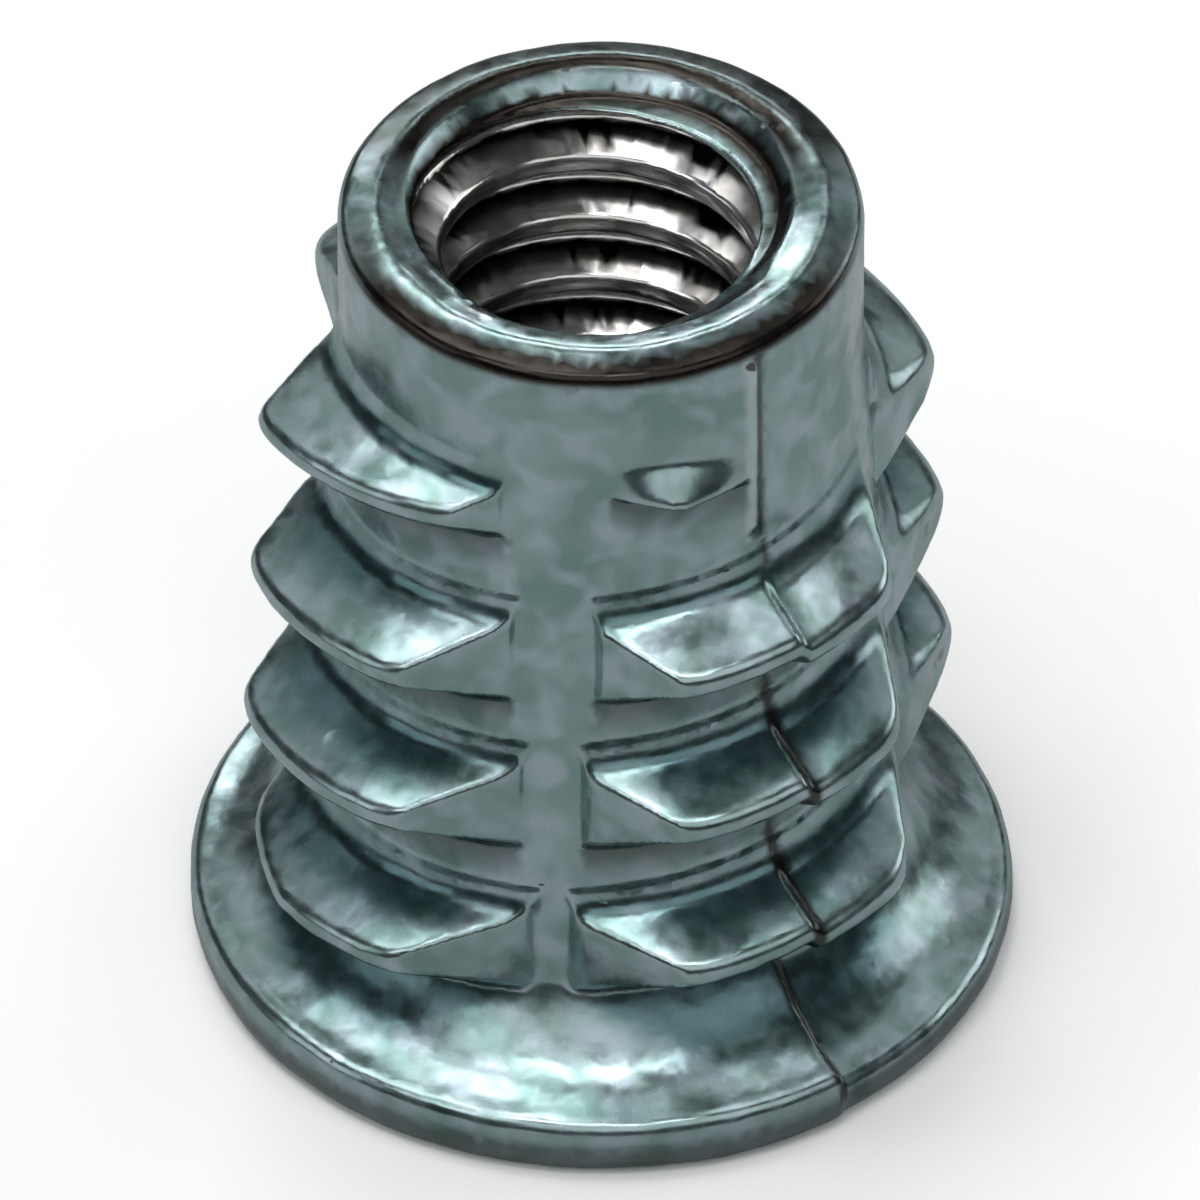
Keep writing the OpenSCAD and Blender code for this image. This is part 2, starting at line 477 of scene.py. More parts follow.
strip_a = 360 / STRIPS
teeth = []
for i in range(math.ceil(end_a / strip_a), math.floor(START_A / strip_a)):
    start, end = i * strip_a, (i + 1) * strip_a
    turns = math.ceil((start - START_A) / 180)
    split = (START_A + 180 * turns - start) / strip_a
    before, after = (HIGH_HALF, LOW_HALF) if turns % 2 == 0 else (LOW_HALF, HIGH_HALF)
    if split < 1:
        teeth.append(tooth(start, end, 0, split + LAP, before))
        teeth.append(tooth(start, end, split, 1, after))
    else:
        teeth.append(tooth(start, end, 0, 1, before))
parts += teeth
print("teeth:", len(teeth), "lofts with", sum(open_edges(p) for p in teeth), "open edges")

# %% [markdown]
# ## The first tooth
# Under the neck the thread starts with a short low tooth of its own, steep below and sloping above. The
# rules of the other teeth would make it too slight, so it is a loft with an outline of its own, highest
# near one end.

# %% Loft the first tooth
FIRST_A, FIRST_PEAK_A, FIRST_END_A = 11.0, 25.0, 47.0
FIRST_Z, FIRST_SLOPE = 12.41, -0.006
FIRST_H, FIRST_END_H, FIRST_POWER = 0.5, 0.02, 1.15


def first_section(a):
    """Section of the first tooth at angle a, from (height over the neck, place along it) pairs."""
    from_peak = a - FIRST_PEAK_A
    side = FIRST_A - FIRST_PEAK_A if from_peak < 0 else FIRST_END_A - FIRST_PEAK_A
    h = mix(FIRST_H, FIRST_END_H, (from_peak / side) ** FIRST_POWER)
    z = FIRST_Z + FIRST_SLOPE * from_peak
    lower = [(-BURY, -0.4), (0.0, -0.16), (0.6 * h, -0.12), (h, -0.08)]
    upper = [(h, 0.02), (0.0, 0.52), (-BURY, 0.9)]
    return [polar(NECK_R + y, a, z + w) for y, w in lower + upper]


first_places = [mix(FIRST_A, FIRST_END_A, i / CELLS) for i in range(CELLS + 1)]
parts.append(lofted("first_tooth", [first_section(a) for a in first_places]))
print("first tooth:", len(parts[-1].data.polygons), "faces,", open_edges(parts[-1]), "open edges")

# %% [markdown]
# ## The bolt's thread in the bore
# A tap cut this thread, so it is crisp and even where the casting is soft. Boolean cuts with a bolt's
# shape would be slow, and a thread of one size suits the Screw modifier: it winds a four-sided section
# up the wall of the bore as a ridge. The ridge's ends are then cut off level with Bisect.

# %% Wind the ridge
BOLT_PITCH, BORE_R, RIDGE_TURNS = 1.27, 2.55, 9
RIDGE_BACK_A, RIDGE_BACK_Z = 190, 14.8
CREST_HALF_W = BOLT_PITCH / 8
FOOT_R = BOLT_R + 0.2
foot_half_w = CREST_HALF_W + (FOOT_R - BORE_R) * math.tan(math.radians(30))
ridge_top_z = RIDGE_BACK_Z + BOLT_PITCH * (START_A + 360 - RIDGE_BACK_A) / 360
ridge_low_z = ridge_top_z - BOLT_PITCH * RIDGE_TURNS

ridge_section = [
    polar(FOOT_R, START_A, ridge_low_z - foot_half_w),
    polar(BORE_R, START_A, ridge_low_z - CREST_HALF_W),
    polar(BORE_R, START_A, ridge_low_z + CREST_HALF_W),
    polar(FOOT_R, START_A, ridge_low_z + foot_half_w),
]
ridge = drawn("ridge", ridge_section, [(0, 1), (1, 2), (2, 3), (3, 0)])
apply_modifier(
    ridge, "SCREW", angle=math.tau, screw_offset=BOLT_PITCH, iterations=RIDGE_TURNS,
    steps=96, render_steps=96,
)
bpy.ops.object.mode_set(mode="EDIT")
close_up(ridge)
bpy.ops.object.mode_set(mode="EDIT")
for height, keep_above in ((HEX_DEPTH - 0.05, True), (OVERALL_L - LIP_DROP, False)):
    bpy.ops.mesh.select_all(action="SELECT")
    bpy.ops.mesh.bisect(
        plane_co=(0, 0, height), plane_no=(0, 0, 1), use_fill=True,
        clear_inner=keep_above, clear_outer=not keep_above,
    )
close_up(ridge)
print("ridge:", len(ridge.data.polygons), "faces,", open_edges(ridge), "open edges")

# %% [markdown]
# ## The mouth
# A cone opens the mouth to lead the bolt in, a little off centre, as a hand-fed tool leaves it. The
# mouth could be part of the body's outline, but that is always centred, so both the body and the ridge
# are cut with the same cone.

# %% Open the mouth
MOUTH_R, MOUTH_DEEP, PAST_RIM = 3.25, 0.4, 0.5
MOUTH_SHIFT = (-0.05, 0.2)

for part in (body, ridge):
    clear_selection()
    bpy.ops.mesh.primitive_cone_add(
        vertices=128, radius1=MOUTH_R - MOUTH_DEEP, radius2=MOUTH_R + PAST_RIM,
        depth=MOUTH_DEEP + PAST_RIM,
        location=(*MOUTH_SHIFT, OVERALL_L + (PAST_RIM - MOUTH_DEEP) / 2),
    )
    cut(part, bpy.context.object)
print("after the mouth:", open_edges(body), "and", open_edges(ridge), "open edges")

# %% [markdown]
# ## One casting
# Joined, the parts only overlap. Boolean unions of so many parts can fail where faces nearly touch, so
# the Remesh modifier's voxels turn them into one closed skin instead.

# %% Fuse the parts
VOXEL = 0.055

pick(body)
for part in [*parts, ridge]:
    part.select_set(True)
bpy.ops.object.join()
casting = bpy.context.object
casting.name = "zinc_casting"
apply_modifier(casting, "REMESH", mode="VOXEL", voxel_size=VOXEL)
print("remeshed:", len(casting.data.polygons), "faces")

# %% [markdown]
# ## The softness of a casting
# A casting has no crisp edge and no quite flat face. Bevels would have to find every edge, so Smooth
# rounds them all, gently in the tapped bore and more on the cast skin, and a slow cloud texture makes
# the skin wavy. Decimate takes faces from where it is plain. No wave may reach below the foot.

# %% Soften and shrink the casting
TRIANGLES = 190_000
BORE_EDGE_R = BOLT_R + 0.1
WAVE_L, WAVE_H = 1.1, 0.05

cast_skin = casting.vertex_groups.new(name="cast_skin")
skin_points = [
    v.index
    for v in casting.data.vertices
    if math.hypot(v.co.x, v.co.y) >= BORE_EDGE_R or v.co.z <= HEX_DEPTH - 0.2
]
cast_skin.add(skin_points, 1.0, "REPLACE")
apply_modifier(casting, "SMOOTH", factor=0.5, iterations=4)
apply_modifier(casting, "SMOOTH", factor=0.5, iterations=8, vertex_group="cast_skin")

waves = bpy.data.textures.new("cast_waves", "CLOUDS")
waves.noise_scale, waves.noise_depth = WAVE_L, 2
apply_modifier(
    casting, "DISPLACE", texture=waves, strength=WAVE_H, mid_level=0.5, vertex_group="cast_skin"
)
triangles = 2 * len(casting.data.polygons)
apply_modifier(casting, "DECIMATE", ratio=min(1.0, TRIANGLES / triangles))
for v in casting.data.vertices:
    v.co.z = max(v.co.z, 0.0)

casting.scale = (MM, MM, MM)
bpy.ops.object.transform_apply(scale=True)
bpy.ops.object.shade_smooth()
print("casting:", len(casting.data.polygons), "faces,", open_edges(casting), "open edges")

# %% [markdown]
# ## Hollows and edges
# Hollows get painted shade, and edges a lighter tone that is partly polish from handling and partly a
# painted highlight. The shader's Pointiness would also find the mesh's own noise. So a copy of the mesh
# is
# smoothed until its detail has gone: where the copy stands outside the casting there is a hollow, and
# where it lies inside, an edge.

# %% Measure hollows and edges
import numpy as np

RELIEF_REACH, BLUR_STEPS = 0.16, 40


def vectors(items, key):
    """A property of a mesh's points or faces, with one vector to a row."""
    values = np.empty(len(items) * 3, dtype=np.float32)
    items.foreach_get(key, values)
    return values.reshape(-1, 3)


pick(casting)
bpy.ops.object.duplicate()
blurred = bpy.context.object
apply_modifier(blurred, "SMOOTH", factor=0.5, iterations=BLUR_STEPS)
sharp_points = vectors(casting.data.vertices, "co")
normals = vectors(casting.data.vertices, "normal")
moved = vectors(blurred.data.vertices, "co") - sharp_points
relief = (moved * normals).sum(axis=1) / (RELIEF_REACH * MM)
bpy.data.objects.remove(blurred)
print("relief from", round(float(relief.min()), 2), "to", round(float(relief.max()), 2))

# %% [markdown]
# ## Shade under the teeth
# Between the teeth the light from above is blocked, and that shade is painted into the colour. An
# Ambient Occlusion node would darken every hollow alike. Here steep rays upwards from each point find
# the
# tooth above it: on faces that look up they give the share of that light which is blocked, and on walls
# and undersides one ray straight up gives the distance to the overhang.

# %% Find what lies under a tooth
from mathutils.bvhtree import BVHTree

SHELTER_REACH, BENEATH_REACH, RAY_START = 4.0, 0.8, 0.03
RAY_ELEVATIONS = ((90, 1), (76, 8))
FACING_UP, FACING_UP_FULLY, FACING_ASIDE, GRAZING = 0.15, 0.55, 0.3, 0.05


def direction(azimuth, elevation):
    """The unit vector towards an azimuth, counted as the angles are, and an elevation."""
    e = math.radians(elevation)
    return polar(math.cos(e), azimuth, math.sin(e))


rays = [direction(360 * k / n, e) for e, n in RAY_ELEVATIONS for k in range(n)]
skin = BVHTree.FromPolygons(
    [v.co.copy() for v in casting.data.vertices], [tuple(p.vertices) for p in casting.data.polygons]
)


def share_met(start, normal):
    """Share of the steep rays from a point, by how squarely they leave it, that meet the casting."""
    facing = [(ray, ray.dot(normal)) for ray in rays if ray.dot(normal) > GRAZING]
    met = [amount for ray, amount in facing if skin.ray_cast(start, ray, SHELTER_REACH * MM)[0]]
    return sum(met) / sum(amount for _, amount in facing)


occlusion_shade = np.zeros(len(casting.data.vertices), dtype=np.float32)
beneath = np.zeros(len(casting.data.vertices), dtype=np.float32)
# The blocked share of steep light and the nearness of the tooth above both become painted shade.
for v in casting.data.vertices:
    if math.hypot(v.co.x, v.co.y) <= BORE_EDGE_R * MM:
        continue
    ray_start = v.co + v.normal * (RAY_START * MM)
    if v.normal.z > FACING_UP:
        upwards = unit((v.normal.z - FACING_UP) / (FACING_UP_FULLY - FACING_UP))
        occlusion_shade[v.index] = upwards * share_met(ray_start, v.normal)
    if v.normal.z < FACING_ASIDE:
        distance = skin.ray_cast(ray_start, Vector((0, 0, 1)), BENEATH_REACH * MM)[3]
        if distance is not None:
            beneath[v.index] = 1 - distance / (BENEATH_REACH * MM)
print("sheltered points:", int((occlusion_shade > 0.5).sum()), "of", len(occlusion_shade))

# %% [markdown]
# ## Where each point lies
# Some tones belong to a place and not to a shape: painted shade, painted highlights and painted dark
# reflections among them. By hand they would be painted with a brush. A script needs a rule instead, so
# each place is a band of distances with soft borders, worked out for all points at once: from the axis,
# the core, the mouth's edge and the parting line.

# %% Measure the places
RIM_FRONT_A, RIM_DEEP = 10.0, 0.5


def ramp(values, zero_at, one_at):
    """0 at zero_at and on its far side, 1 at one_at and on its far side, and even steps between."""
    return ((values - zero_at) / (one_at - zero_at)).clip(0, 1)


def band(distances, half_width, border):
    """1 where a distance is about 0, and 0 past half_width, with a soft border inside it."""
    return ramp(abs(distances), half_width, half_width - border)


def within(values, low, high):
    """Whether values lie between low and high."""
    return (values > low) & (values < high)


x, y, z = (sharp_points / MM).T
radius, angle, deep = np.hypot(x, y), np.arctan2(x, -y), OVERALL_L - z
turn = angle - math.radians(RIM_FRONT_A)
front, back = ramp(np.cos(turn), 0.0, 0.5), ramp(np.cos(turn), 0.0, -0.4)
from_parting = radius * np.sin(angle - math.radians(START_A))
from_mouth = np.hypot(x - MOUTH_SHIFT[0], y - MOUTH_SHIFT[1]) - MOUTH_R
from_core = radius - np.interp(z, (FLANGE_H, THREAD_TOP), (CORE_R, NECK_R))
right_half, on_rim, on_neck = x > 0, deep < RIM_DEEP, radius > NECK_R - 0.3
print("points on the rim:", int(on_rim.sum()))

# %% [markdown]
# ## Painted shade
# Dark reflections are painted in a line round the rim's front edge, in one inside its far edge and in a
# band outside the mouth on the far side. Shade is painted in the grooves of the tapped bore, under the
# teeth and along the line where the die's halves met. The flange's outer wall is darker towards its
# foot.
# Added up, the bands would be too dark where two of them meet, so the strongest at a point is kept.
# Above each tooth the root gets painted shade too, the same as the places under the teeth.

# %% Mark the painted shade
RIM_LINE_R, RIM_LINE_DEEP = (3.72, 3.86), (0.42, 0.3)
MOUTH_LINE_OUT, MOUTH_LINE_W, MOUTH_BAND = 0.04, 0.2, (0.1, 0.3)
GROOVE_R, GROOVE_DEEP = (BORE_R + 0.05, BORE_R + 0.26), 0.2
STEP_OUT, STEP_W, STEP_Z = 0.02, 0.15, (0.5, 8.6)
SEAM_OUT, SEAM_W, SEAM_Z = 0.09, 0.11, (10.4, OVERALL_L - 0.3)
WALL_R, WALL_Z = (FLANGE_R - 0.25, FLANGE_R - 0.1), (FLANGE_EDGE_T - 0.35, FLANGE_EDGE_T - 0.5)
OVERHANG, OVERHANG_Z = (0.0, 0.7), (1.2, OVERALL_L - 1.0)
ROOT_UP, ROOT_OUT, ROOT_IN, ROOT_Z = (0.2, 0.55), (0.42, 0.12), -0.2, (3.2, OVERALL_L - 1.0)

# Painted dark reflections on the rim; painted shade in the bore's grooves, along the step and the seam
# and under the teeth; the flange's outer wall darker towards its foot.
outer_line = front * ramp(radius, *RIM_LINE_R) * ramp(deep, *RIM_LINE_DEEP)
inner_line = back * on_rim * band(from_mouth - MOUTH_LINE_OUT, MOUTH_LINE_W, 0.1)
outer_band = back * on_rim * ramp(from_mouth, *MOUTH_BAND)
grooves = ramp(radius, *GROOVE_R) * (radius < BOLT_R - 0.05) * (deep > GROOVE_DEEP)
step_line = right_half * band(from_parting - STEP_OUT, STEP_W, 0.06) * within(z, *STEP_Z)
seam_line = right_half * band(from_parting - SEAM_OUT, SEAM_W, 0.06) * within(z, *SEAM_Z)
wall = ramp(radius, *WALL_R) * ramp(z, *WALL_Z)
overhung = ramp(beneath, *OVERHANG) * within(z, *OVERHANG_Z)

painted_shade = outer_line
for strength, mask in (
    (1.0, inner_line), (0.75, outer_band), (1.0, grooves), (0.9, step_line),
    (0.8, seam_line * on_neck), (0.6, wall), (0.6, overhung),
):
    painted_shade = np.maximum(painted_shade, strength * mask)

# The root above each tooth gets the same painted shade as the places under the teeth.
root = ramp(normals[:, 2], *ROOT_UP) * ramp(from_core, *ROOT_OUT)
root = root * (from_core > ROOT_IN) * within(z, *ROOT_Z)
on_first_tooth = (z > 11.8) & (x > 0.5) & (from_parting < 0.1)
occlusion_shade = np.maximum(occlusion_shade, root * ~on_first_tooth)
print("shaded points:", int((painted_shade > 0.5).sum()))

# %% [markdown]
# ## Painted highlights, and what the mesh keeps
# The near edge of the mouth gets a painted highlight, and so does the flash's lit side. Both count as
# edges that stand out, so they lower the relief. Two sines of different lengths break the rim's painted
# highlight into pieces. An image could hold the measures, but an attribute needs no unwrapping, stays on
# its point and can be read by the shader.

# %% Store the attributes
RIM_HIGHLIGHT_OUT, RIM_HIGHLIGHT_W, RIM_HIGHLIGHT_WAVES = 0.16, 0.2, (17, 29)
GLINT_IN, GLINT_W, GLINT_LOW_Z = 0.14, 0.13, 10.9

# A painted highlight in pieces on the rim's near edge, and one along the flash's lit side.
pieces = np.sin(RIM_HIGHLIGHT_WAVES[0] * turn) + np.sin(RIM_HIGHLIGHT_WAVES[1] * turn + 1)
rim_highlight = front * on_rim * band(from_mouth - RIM_HIGHLIGHT_OUT, RIM_HIGHLIGHT_W, 0.1) * ramp(pieces, -0.6, 0.8)
glint = right_half * on_neck * band(from_parting + GLINT_IN, GLINT_W, 0.08) * (z > GLINT_LOW_Z)
# Both painted highlights lower the relief, which the material turns into the edges' lighter tone.
relief = (relief - 0.55 * glint - 0.9 * rim_highlight).clip(-1, 1)

for label, values in (("relief", relief), ("occlusion_shade", occlusion_shade), ("painted_shade", painted_shade)):
    attribute = casting.data.attributes.new(label, "FLOAT", "POINT")
    attribute.data.foreach_set("value", values.astype(np.float32))
print("attributes:", [a.name for a in casting.data.attributes if a.data_type == "FLOAT"])

# %% [markdown]
# ## Mottling
# Cooled zinc is patchy. Painted patches would need an image, and noise needs none. Both metals use the
# effect, so it is a node group that is built once. Its sockets have names, and it gives a mask: noise,
# cut off between two limits.

# %% Build the mottling group
def add_node(tree, kind, inputs=None, **settings):
    """A node with its settings, and its inputs set to values or linked to other nodes' outputs."""
    node = tree.nodes.new(kind)
    for key, value in settings.items():
        setattr(node, key, value)
    for key, value in (inputs or {}).items():
        if isinstance(value, bpy.types.NodeSocket):
            tree.links.new(value, node.inputs[key])
        else:
            node.inputs[key].default_value = value
    return node


def new_group(name, inputs, outputs):
    """A group with float inputs (a vector where no value is given), and its two ends' sockets."""
    tree = bpy.data.node_groups.new(name, "ShaderNodeTree")
    for label, value in inputs.items():
        kind = "NodeSocketVector" if value is None else "NodeSocketFloat"
        socket = tree.interface.new_socket(name=label, in_out="INPUT", socket_type=kind)
        if value is not None:
            socket.default_value = value
    for label in outputs:
        tree.interface.new_socket(name=label, in_out="OUTPUT", socket_type="NodeSocketFloat")
    ends = tree.nodes.new("NodeGroupInput"), tree.nodes.new("NodeGroupOutput")
    return tree, ends[0].outputs, ends[1].inputs


mottling_inputs = {"Scale": 1000.0, "Detail": 3.0, "Distortion": 0.0, "From": 0.4, "To": 0.6}
mottling, given, wanted = new_group("mottling", {"Place": None, **mottling_inputs}, ["Mask"])
noise_inputs = {label: given[label] for label in ("Scale", "Detail", "Distortion")}
noise = add_node(mottling, "ShaderNodeTexNoise", {"Vector": given["Place"], **noise_inputs})
limits = add_node(mottling, "ShaderNodeMapRange", {
    "Value": noise.outputs["Fac"], "From Min": given["From"], "From Max": given["To"],
})
mottling.links.new(limits.outputs["Result"], wanted["Mask"])
print("mottling:", [item.name for item in mottling.interface.items_tree])

# %% [markdown]
# ## Painted shade, highlights and wear
# The second group turns the mesh's attributes into masks for hollows, edges, the places under the teeth
# and the other painted shade. Hollows get painted shade, and edges a lighter tone that is partly wear
# and partly a painted highlight. The masks could be read in each material by itself, but then their
# limits would have to agree in two places. An edge is where the relief falls below zero, so its sign is
# turned round first.

# %% Build the group of painted shade and wear
shade_and_wear, given, wanted = new_group(
    "shade_and_wear",
    {
        "Hollow From": 0.5, "Hollow To": 2.0, "Edge From": 0.15, "Edge To": 0.9,
        "Occlusion Shade From": 0.3, "Occlusion Shade To": 1.15, "Painted Shade From": 0.0, "Painted Shade To": 1.0,
    },
    ["Hollow", "Edge", "Occlusion Shade", "Painted Shade"],
)
relief_read, occlusion_shade_read, painted_shade_read = (
    add_node(shade_and_wear, "ShaderNodeAttribute", attribute_name=label).outputs["Fac"]
    for label in ("relief", "occlusion_shade", "painted_shade")
)
turned = add_node(shade_and_wear, "ShaderNodeMath", {0: relief_read, 1: -1.0}, operation="MULTIPLY")
for label, value in (
    ("Hollow", relief_read), ("Edge", turned.outputs["Value"]),
    ("Occlusion Shade", occlusion_shade_read), ("Painted Shade", painted_shade_read),
):
    limits = add_node(shade_and_wear, "ShaderNodeMapRange", {
        "Value": value, "From Min": given[label + " From"], "From Max": given[label + " To"],
    })
    shade_and_wear.links.new(limits.outputs["Result"], wanted[label])
print("groups:", [g.name for g in bpy.data.node_groups])

# %% [markdown]
# ## The masks of a zinc surface
# Zinc cools in patches of several sizes, so the mottling group is placed three times, with values of its
# own each time, and the group of painted shade, highlights and wear once. One noise with more detail
# would be simpler, but all its sizes would share one tone. The pattern reads Object coordinates, which
# stay with the piece.

# %% Name the masks
PATTERNS = {
    "Patches": {"Scale": 800.0, "Detail": 1.5, "Distortion": 0.3, "From": 0.38, "To": 0.64},
    "Veins": {"Scale": 1400.0, "Detail": 1.0, "Distortion": 0.4, "From": 0.42, "To": 0.68},
    "Grains": {"Scale": 3000.0, "Detail": 1.5, "Distortion": 0.0, "From": 0.3, "To": 0.7},
}


def zinc_masks(tree):
    """The zinc masks by name: three patterns of patches, and four of painted shade, highlight and wear.
    """
    place = tree.nodes.new("ShaderNodeTexCoord").outputs["Object"]
    masks = {}
    for label, pattern in PATTERNS.items():
        mottled = add_node(tree, "ShaderNodeGroup", {"Place": place, **pattern}, node_tree=mottling)
        masks[label] = mottled.outputs["Mask"]
    # Painted shade for hollows and the places under the teeth, and an edge tone that is partly wear and
    # partly a painted highlight.
    worn = add_node(tree, "ShaderNodeGroup", node_tree=shade_and_wear)
    return {**masks, **{output.name: output for output in worn.outputs}}


print("patch sizes, mm:", {label: round(1 / p["Scale"] / MM, 2) for label, p in PATTERNS.items()})

# %% [markdown]
# ## A zinc surface
# The cast skin is a satin grey metal that leans to green and blue in patches, like passivated zinc, and
# its roughness and a faint bump follow the same patches. One tone and a noisy roughness would look like
# plain steel. Each mask lays its tone over the ones before it, from the broadest patches to the painted
# shade: the hollows and the places under the teeth get painted shade, and the edges a lighter tone that
# is partly wear and partly a painted highlight.

# %% Describe a zinc surface
LAID_OVER = ("Patches", "Veins", "Hollow", "Occlusion Shade", "Edge", "Painted Shade")
VEIN_HEIGHT, EDGE_POLISH = 0.6, -0.06


def blended(tree, mask, first, second):
    """A colour between first and second, each a colour or another node's output."""
    sides = [c if isinstance(c, bpy.types.NodeSocket) else (*c, 1.0) for c in (first, second)]
    inputs = {0: mask, 6: sides[0], 7: sides[1]}
    return add_node(tree, "ShaderNodeMix", inputs, data_type="RGBA").outputs[2]


def between(tree, mask, low, high):
    """A value that goes from low to high as the mask goes from 0 to 1."""
    node = add_node(tree, "ShaderNodeMapRange", {"Value": mask, "To Min": low, "To Max": high})
    return node.outputs["Result"]


def calculated(tree, operation, first, second):
    """The output of a Math node."""
    node = add_node(tree, "ShaderNodeMath", {0: first, 1: second}, operation=operation)
    return node.outputs["Value"]


def metal(name, tones, roughness, bump):
    """A zinc surface, with a base tone and a tone for each mask."""
    material = bpy.data.materials.new(name)
    material.use_nodes = True
    tree = material.node_tree
    shader = tree.nodes["Principled BSDF"]
    shader.inputs["Metallic"].default_value = 1.0

    masks = zinc_masks(tree)
    colour = tones["Base"]
    for label in LAID_OVER:
        colour = blended(tree, masks[label], colour, tones[label])
    tree.links.new(colour, shader.inputs["Base Color"])

    polish = between(tree, masks["Edge"], 0.0, EDGE_POLISH)
    rough = calculated(tree, "ADD", between(tree, masks["Grains"], *roughness), polish)
    tree.links.new(rough, shader.inputs["Roughness"])

    broad = calculated(tree, "MULTIPLY", masks["Veins"], VEIN_HEIGHT)
    heights = calculated(tree, "ADD", broad, masks["Grains"])
    bumps = add_node(tree, "ShaderNodeBump", {"Height": heights, "Strength": 1.0, "Distance": bump})
    tree.links.new(bumps.outputs["Normal"], shader.inputs["Normal"])
    return material


print("tones over the base, in order:", LAID_OVER)

# %% [markdown]
# ## Cast and cut zinc
# The bore was cut by a tap, so its metal is brighter, glossier and whiter than the cast skin. A mask
# could blend the two in one material, but tooling leaves a clear border, so there are two materials and
# each face takes the one that its place calls for.

# %% Make the two metals
cast_zinc = metal(
    "cast_zinc",
    tones={
        "Base": (0.35, 0.48, 0.47), "Patches": (0.25, 0.39, 0.37), "Veins": (0.46, 0.58, 0.63),
        # Painted shade: the tones of the hollows, of the places under the teeth and of the last key. The
        # edges' tone is partly wear, partly a painted highlight.
        "Hollow": (0.18, 0.26, 0.27), "Occlusion Shade": (0.08, 0.17, 0.19), "Edge": (0.66, 0.76, 0.78),
        "Painted Shade": (0.045, 0.040, 0.035),
    },
    roughness=(0.19, 0.31),
    bump=0.0000018,
)
cut_zinc = metal(
    "cut_zinc",
    tones={
        "Base": (0.76, 0.75, 0.72), "Patches": (0.62, 0.60, 0.56), "Veins": (0.80, 0.81, 0.83),
        # Painted shade: the tones of the hollows, of the places under the teeth and of the last key. The
        # edges' tone is partly wear, partly a painted highlight.
        "Hollow": (0.30, 0.29, 0.28), "Occlusion Shade": (0.04, 0.04, 0.045), "Edge": (0.90, 0.90, 0.90),
        "Painted Shade": (0.02, 0.017, 0.016),
    },
    roughness=(0.14, 0.22),
    bump=0.000001,
)
casting.data.materials.clear()
for material in (cast_zinc, cut_zinc):
    casting.data.materials.append(material)

centres = vectors(casting.data.polygons, "center") / MM
in_bore = np.hypot(centres[:, 0], centres[:, 1]) < BORE_EDGE_R
is_cut = in_bore & within(centres[:, 2], HEX_DEPTH, OVERALL_L - MOUTH_DEEP - 0.1)
casting.data.polygons.foreach_set("material_index", is_cut.astype(np.int32))
print("cut faces:", int(is_cut.sum()), "of", len(is_cut))

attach(casting, "root")
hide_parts("insert_body")

# %% [markdown]
# ## The floor
# The insert stands on plain pale paper. Paper that is lit until it is white would outshine the zinc, so
# the camera sees it bright, with its soft shadow, and the metal's reflections see it in middle grey.
# More light would change the insert too, so the Light Path node tells the two apart instead.

# %% Lay the floor
FLOOR_SEEN, FLOOR_REFLECTED = 1.4, 0.6

clear_selection()
bpy.ops.mesh.primitive_plane_add(size=2.0, location=(0, 0, 0))
floor = bpy.context.object
floor.name = "studio_floor"
paper = bpy.data.materials.new("pale_paper")
paper.use_nodes = True
paper_tree = paper.node_tree
paper_tree.nodes.clear()
seen = paper_tree.nodes.new("ShaderNodeLightPath").outputs["Is Camera Ray"]
tone = blended(paper_tree, seen, (FLOOR_REFLECTED,) * 3, (FLOOR_SEEN,) * 3)
sheet = add_node(paper_tree, "ShaderNodeBsdfDiffuse", {"Color": tone})
add_node(paper_tree, "ShaderNodeOutputMaterial", {"Surface": sheet.outputs["BSDF"]})
floor.data.materials.append(paper)
print("floor:", floor.name, "with", paper.name)

# %% [markdown]
# ## Lights
# Polished shapes are drawn by what they mirror, so the studio is a dim room with soft boxes round it. A
# few strong lamps would give small hard glints. The key stands high on the left, and the overhead box
# carries it on towards the zenith, for the upper faces of the teeth. One box in front lights the far
# wall of the bore. The boxes at the back make the bright rim and the flange's bright edge, the ones on
# the right stay weak, and a wide weak box in front fills the rounded crests. Each box is given by its
# radiance, because that is what the metal shows.

# %% Set the lights
AZIMUTH, ELEVATION, ROLL = 10.0, 41.35, -0.3
BOX_DISTANCE = 0.7
AIR_COLOUR, AIR_STRENGTH = (0.9, 1.0, 1.0, 1.0), 0.05


def softbox(name, side, elevation, size, radiance):
    """A soft box that faces the insert, at an angle to the right of the camera's side."""
    light = bpy.data.lights.new(name, "AREA")
    light.shape, light.size, light.size_y = "RECTANGLE", size[0], size[1]
    light.energy = radiance * math.pi * size[0] * size[1]
    lamp = bpy.data.objects.new(name, light)
    bpy.context.scene.collection.objects.link(lamp)
    lamp.location = direction(AZIMUTH + side, elevation) * BOX_DISTANCE
    lamp.rotation_mode = "QUATERNION"
    lamp.rotation_quaternion = (-lamp.location).to_track_quat("-Z", "Y")


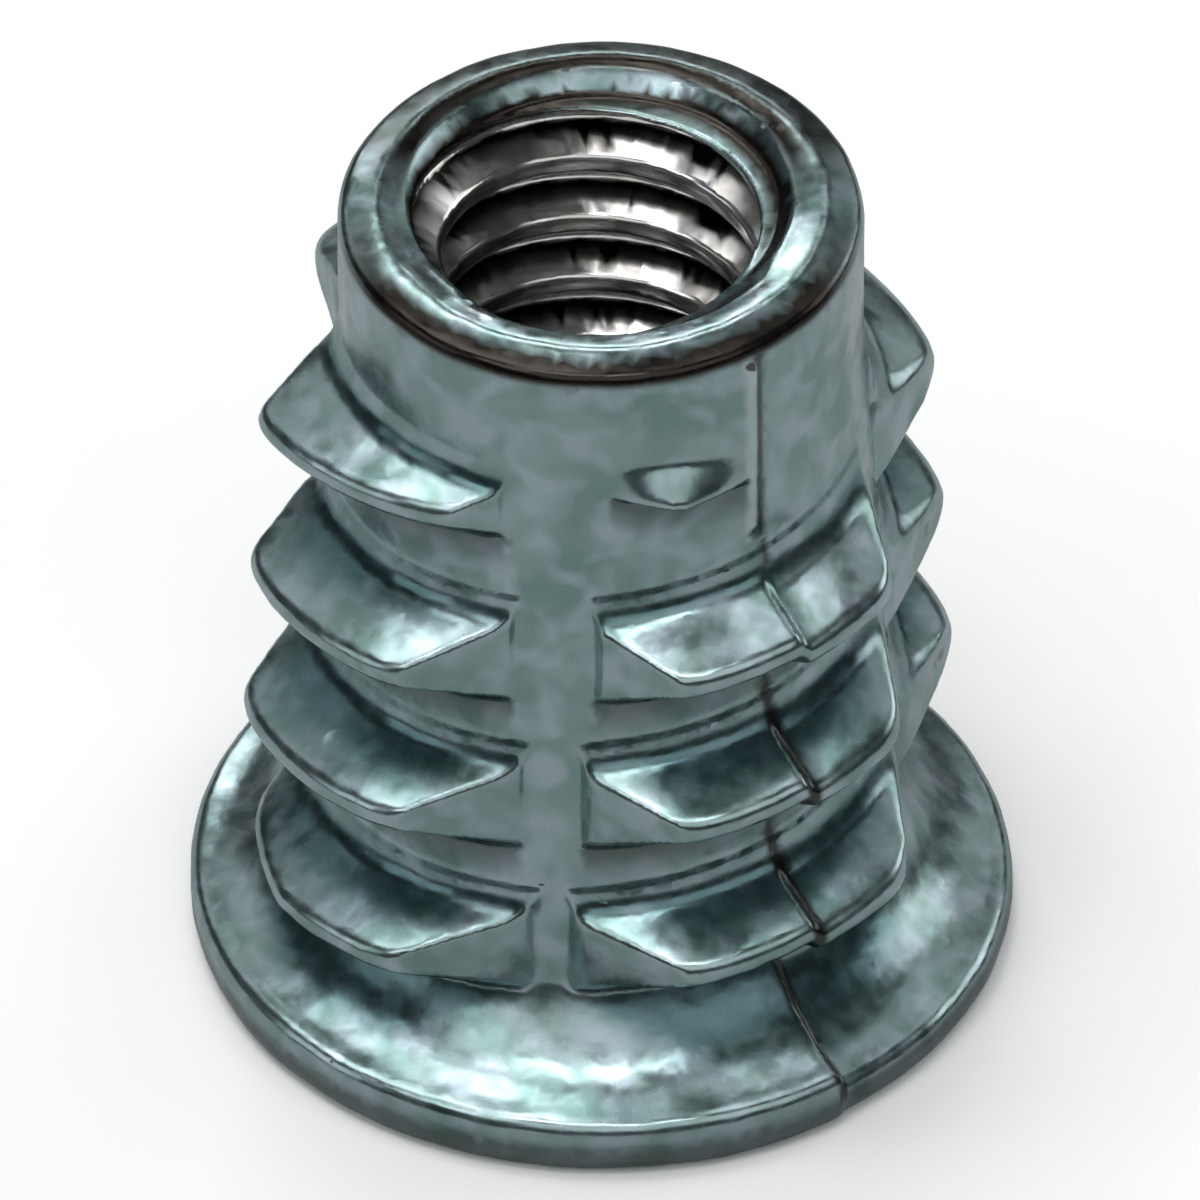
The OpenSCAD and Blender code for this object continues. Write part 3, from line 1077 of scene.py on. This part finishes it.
softbox("key", 252, 61, (0.28, 0.22), 2.5)
softbox("overhead", 238, 79, (0.22, 0.18), 3.4)
softbox("bore_light", 345, 72, (0.40, 0.13), 4.5)
softbox("right_high", 108, 73, (0.24, 0.16), 1.5)
softbox("right_back", 130, 50, (0.28, 0.22), 0.6)
softbox("far_right", 148, 26, (0.24, 0.22), 0.5)
softbox("right", 114, 25, (0.40, 0.26), 1.4)
softbox("back", 188, 24, (0.38, 0.17), 2.9)
softbox("back_high", 191, 53, (0.30, 0.11), 4.2)
softbox("left_back", 226, 36, (0.26, 0.26), 0.5)
softbox("left", 285, 22, (0.34, 0.30), 0.8)
softbox("front_left", 315, 50, (0.26, 0.24), 1.8)
softbox("front_high", 20, 44, (0.90, 0.38), 0.8)

world = bpy.data.worlds.new("studio_air")
bpy.context.scene.world = world
world.use_nodes = True
world.node_tree.nodes["Background"].inputs["Color"].default_value = AIR_COLOUR
world.node_tree.nodes["Background"].inputs["Strength"].default_value = AIR_STRENGTH
bpy.context.scene.view_settings.view_transform = "Standard"

# %% [markdown]
# ## The camera
# A long lens looks down at about 41 degrees from a little right of the front, with the whole insert in
# the frame. A shorter lens would have to stand closer and would swell the rim. The shift only centres
# the insert.

# %% Place the camera
from mathutils import Quaternion

CAMERA_DISTANCE, AIM_Z = 0.4, 0.0075
LENS, SENSOR_W = 744.0, 36.0
SHIFT_X, SHIFT_Y = -0.002, -0.0392

camera_data = bpy.data.cameras.new("studio_camera")
camera_data.sensor_width, camera_data.lens = SENSOR_W, LENS
camera_data.shift_x, camera_data.shift_y = SHIFT_X, SHIFT_Y
camera_data.clip_start, camera_data.clip_end = 0.05, 10.0
camera = bpy.data.objects.new("studio_camera", camera_data)
bpy.context.scene.collection.objects.link(camera)
bpy.context.scene.camera = camera
to_camera = direction(AZIMUTH, ELEVATION)
camera.location = Vector((0, 0, AIM_Z)) + to_camera * CAMERA_DISTANCE
camera.rotation_mode = "QUATERNION"
level = (-to_camera).to_track_quat("-Z", "Y")
camera.rotation_quaternion = level @ Quaternion((0, 0, 1), math.radians(ROLL))
print("camera at", [round(v, 3) for v in camera.location])

# %% [markdown]
# ## The end

# %% Finish
import json
